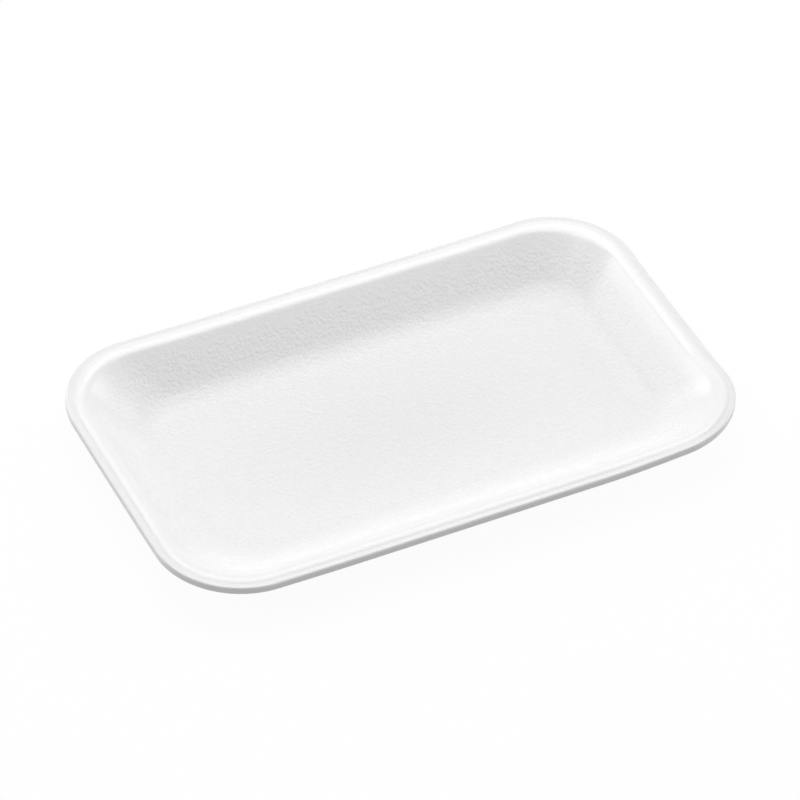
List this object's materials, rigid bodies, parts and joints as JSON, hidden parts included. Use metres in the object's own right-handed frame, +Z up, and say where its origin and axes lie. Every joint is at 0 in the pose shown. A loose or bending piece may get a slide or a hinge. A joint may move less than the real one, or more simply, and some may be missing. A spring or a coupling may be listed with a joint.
{
  "type": "food tray",
  "caption": "Shallow oblong white foam food tray with rounded corners, sloping walls, a raised bead and a narrow level lip.",
  "frame": {"origin": "middle of the flat base, on the surface that the tray stands on", "axes": "+X along the tray's length, +Y across its width, +Z up out of its open top"},
  "size_m": [0.21, 0.128, 0.0179],
  "materials": {
    "foam": "satin foam skin"
  },
  "bodies": {
    "root": {"foam_tray": "foam"}
  },
  "joints": []
}
